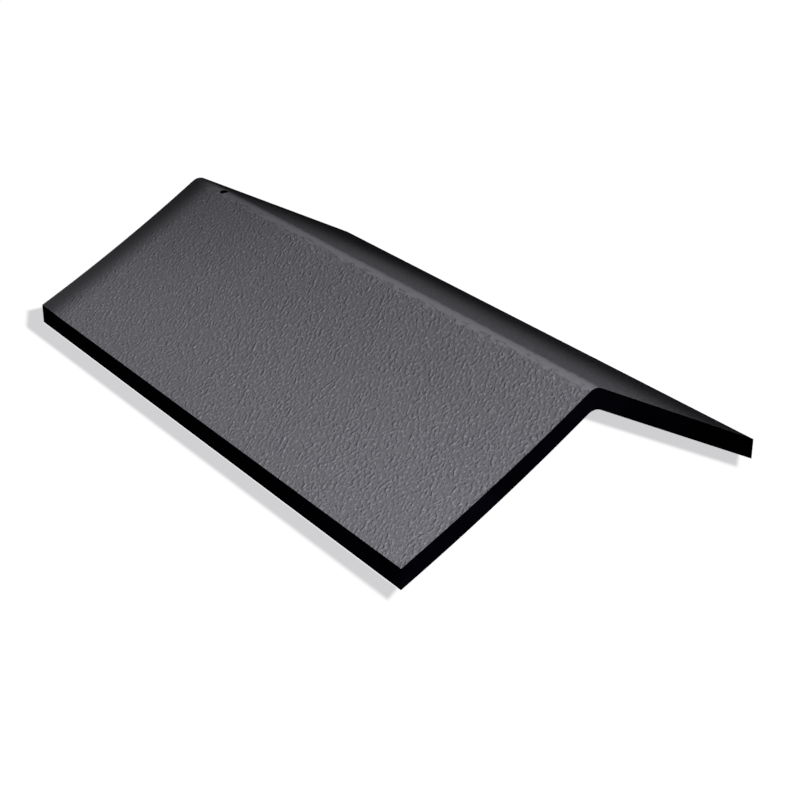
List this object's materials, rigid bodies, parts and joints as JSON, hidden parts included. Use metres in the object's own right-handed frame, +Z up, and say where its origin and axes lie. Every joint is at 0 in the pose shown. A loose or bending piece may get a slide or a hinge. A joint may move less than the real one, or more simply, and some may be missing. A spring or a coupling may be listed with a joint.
{
  "type": "roof ridge cap",
  "caption": "V-shaped moulded slate-look cap that straddles a roof ridge, with a rounded crown, grained top faces and a nail hole near its head end.",
  "frame": {"origin": "bottom centre: midway between the eaves and between the ends, level with the lower arrises that the cap stands on", "axes": "+Y along the ridge from the tail end to the head end with the nail hole, +Z up, the slightly hollow wing towards -X"},
  "size_m": [0.2706, 0.457, 0.0859],
  "materials": {
    "slate_composite": "slate grey with a moulded grain on top, smooth black on the cut faces and underneath"
  },
  "bodies": {
    "root": {"ridge_cap": "slate_composite"}
  },
  "joints": []
}
